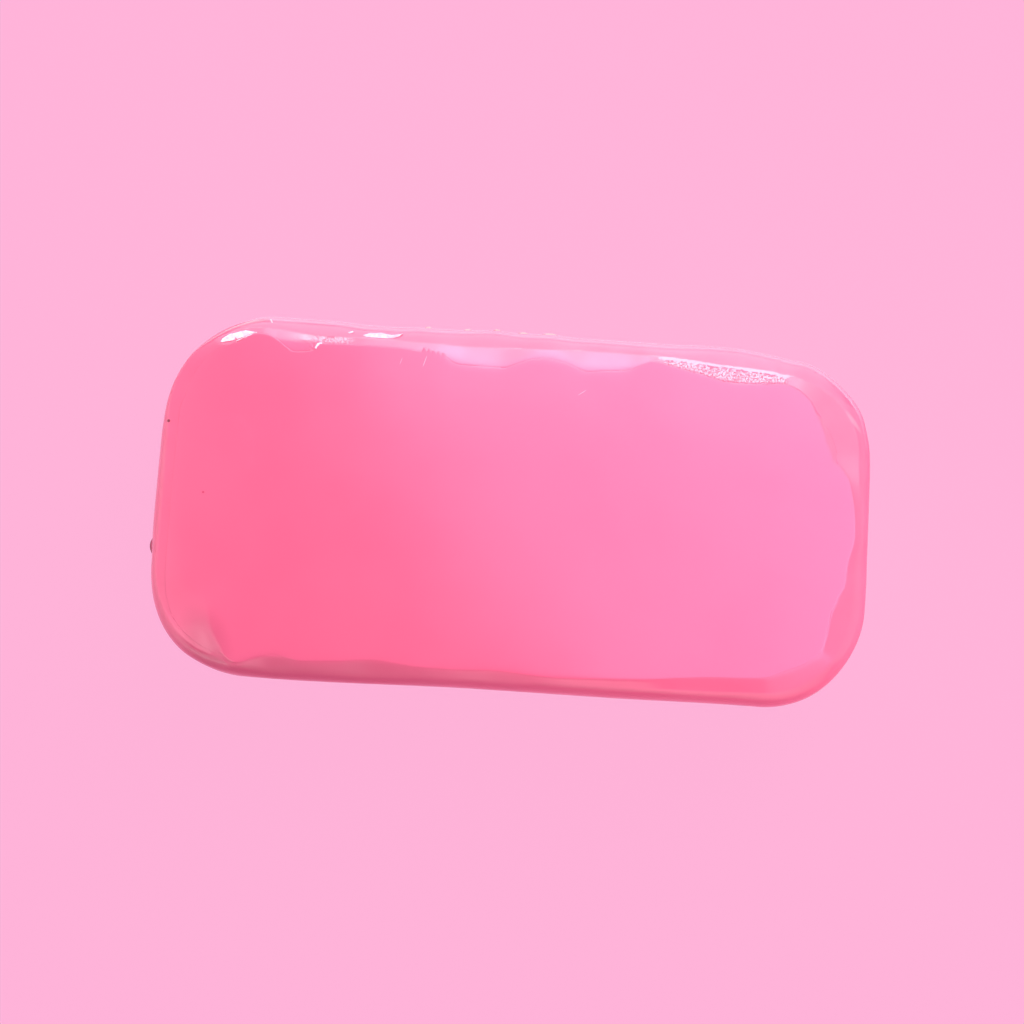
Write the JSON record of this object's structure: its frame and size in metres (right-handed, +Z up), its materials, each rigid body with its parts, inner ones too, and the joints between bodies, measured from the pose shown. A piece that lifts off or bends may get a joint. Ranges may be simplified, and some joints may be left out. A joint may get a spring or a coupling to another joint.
{
  "type": "soap loaf mould",
  "caption": "Thick-walled silicone loaf mould with round corners, filled to the brim with a cast soap loaf that lifts out.",
  "frame": {"origin": "centre of the mould's flat base, on the surface that it stands on", "axes": "+X along the loaf's length, +Y across it, +Z up out of the mould's mouth"},
  "size_m": [0.215, 0.1084, 0.058],
  "materials": {
    "silicone": "glossy pink cast silicone, smooth, slightly translucent",
    "soap": "glossy pink melt-and-pour soap with a mirror-like poured top, slightly translucent"
  },
  "bodies": {
    "mould": {"silicone_mould": "silicone"},
    "loaf": {"soap_loaf": "soap"}
  },
  "joints": [
    {"name": "loaf_lift", "type": "slide", "parent": "mould", "child": "loaf", "axis": [0, 0, 1], "range_m": [0, 0.06]}
  ]
}
